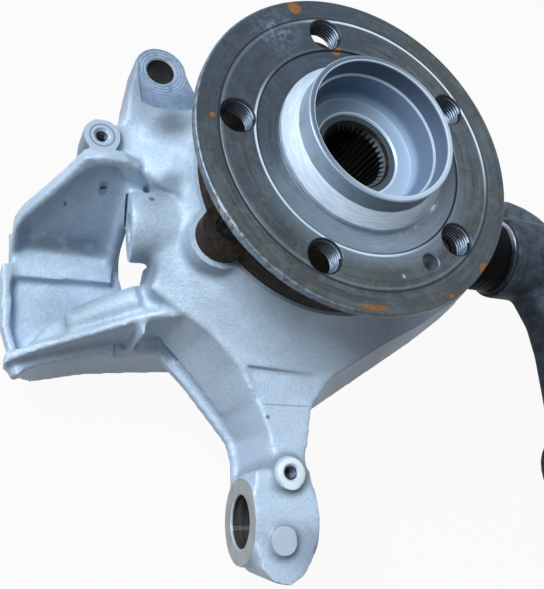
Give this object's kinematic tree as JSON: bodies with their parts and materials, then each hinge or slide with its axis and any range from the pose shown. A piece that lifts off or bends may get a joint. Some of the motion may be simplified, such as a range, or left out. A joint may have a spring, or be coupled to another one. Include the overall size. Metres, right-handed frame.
{
  "type": "steering knuckle",
  "caption": "Cast knuckle with a bolted roller bearing, a flanged wheel hub with spigot and splined bore, and a link arm on a rubber-bushed joint.",
  "frame": {"origin": "centre of the hub's wheel-mounting face, on the hub's axis", "axes": "+Z along the hub's axis, outboard, away from the casting; +X parallel to the cross bore of the lower eye, towards the link arm; +Y towards the ear with the upright bore"},
  "size_m": [0.299, 0.2467, 0.1478],
  "materials": {
    "cast_aluminium": "cast, fine grained",
    "turned_steel": "turned, lightly rusted",
    "rusty_ring": "rust brown",
    "bolt_steel": "dark",
    "bearing_steel": "ground",
    "cage_polymer": "moulded",
    "seal_rubber": "matte",
    "encoder": "magnetised rubber",
    "joint_rubber": "matte",
    "bright_steel": "bright",
    "dark_forging": "coated, rough",
    "zinc_steel": "zinc plated"
  },
  "bodies": {
    "knuckle": {"knuckle_casting": "cast_aluminium", "bearing_outer_ring": "rusty_ring", "outboard_seal": "seal_rubber", "inboard_seal": "seal_rubber", "bearing_bolts": "bolt_steel", "joint_sleeve": "zinc_steel", "joint_bolt": "zinc_steel", "joint_washer": "zinc_steel"},
    "hub": {"wheel_hub": "turned_steel", "bearing_inner_ring": "bearing_steel", "encoder_ring": "encoder"},
    "outboard_row": {"outboard_rollers": "bearing_steel", "outboard_cage": "cage_polymer"},
    "inboard_row": {"inboard_rollers": "bearing_steel", "inboard_cage": "cage_polymer"},
    "link": {"link_arm": "dark_forging", "joint_rubber": "joint_rubber", "joint_end_ring": "bright_steel", "arm_end_bush": "joint_rubber", "arm_end_sleeve": "zinc_steel"}
  },
  "joints": [
    {"name": "hub_spin", "type": "hinge", "parent": "knuckle", "child": "hub", "pos_m": [0, 0, -0.038], "axis": [0, 0, 1], "continuous": true},
    {"name": "outboard_row_spin", "type": "hinge", "parent": "knuckle", "child": "outboard_row", "pos_m": [0, 0, -0.0275], "axis": [0, 0, 1], "continuous": true},
    {"name": "inboard_row_spin", "type": "hinge", "parent": "knuckle", "child": "inboard_row", "pos_m": [0, 0, -0.0495], "axis": [0, 0, 1], "continuous": true},
    {"name": "link_swing", "type": "hinge", "parent": "knuckle", "child": "link", "pos_m": [0.132, -0.0113, -0.06], "axis": [1, 0, 0], "range_deg": [-15, 15], "stiffness_Nm_per_rad": 60}
  ],
  "couplings": [
    {"joint": "outboard_row_spin", "follows": "hub_spin", "ratio": 0.43},
    {"joint": "inboard_row_spin", "follows": "hub_spin", "ratio": 0.43}
  ]
}
